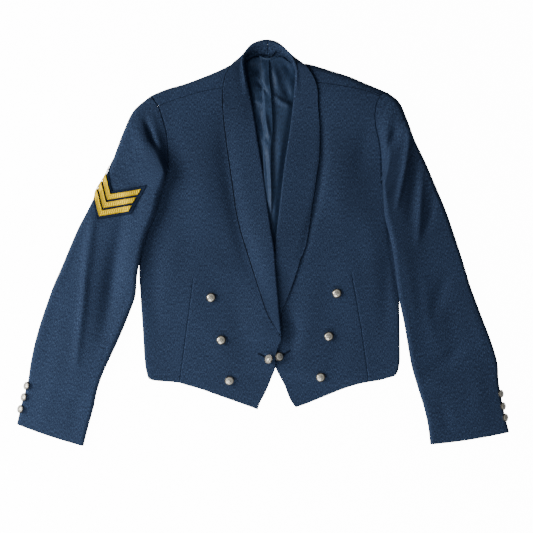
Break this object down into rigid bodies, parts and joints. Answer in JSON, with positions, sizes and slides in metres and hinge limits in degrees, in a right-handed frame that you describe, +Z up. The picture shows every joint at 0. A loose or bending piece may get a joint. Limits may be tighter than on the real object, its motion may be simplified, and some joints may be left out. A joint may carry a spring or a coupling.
{
  "type": "mess jacket",
  "caption": "Short open-fronted mess jacket laid out flat: rolled shawl collar, linked waist, domed metal buttons, gold lace chevrons on one sleeve.",
  "frame": {"origin": "on the surface that the jacket lies on, under the middle of its outline", "axes": "+Z up out of the fronts, +Y towards the collar, +X towards the wearer's left"},
  "size_m": [0.9125, 0.748, 0.0338],
  "materials": {
    "barathea": "dull dark air-force-blue barathea wool, slightly heathered",
    "satin": "slate-blue satin lining with a soft sheen",
    "felt": "dull midnight-blue felt",
    "gold_lace": "ribbed gold worsted lace",
    "metal": "polished pale staybrite metal"
  },
  "bodies": {
    "root": {"right_collar": "barathea", "left_collar": "barathea", "right_front": "barathea", "left_front": "barathea", "back": "barathea", "right_top_sleeve": "barathea", "right_under_sleeve": "barathea", "left_top_sleeve": "barathea", "left_under_sleeve": "barathea", "right_lining": "satin", "left_lining": "satin", "chevron_patch": "felt", "chevron_1": "gold_lace", "chevron_2": "gold_lace", "chevron_3": "gold_lace", "right_front_button_1": "metal", "right_front_button_2": "metal", "right_front_button_3": "metal", "left_front_button_1": "metal", "left_front_button_2": "metal", "left_front_button_3": "metal", "right_link_button": "metal", "left_link_button": "metal", "right_cuff_button_1": "metal", "right_cuff_button_2": "metal", "right_cuff_button_3": "metal", "left_cuff_button_1": "metal", "left_cuff_button_2": "metal", "left_cuff_button_3": "metal"}
  },
  "joints": []
}
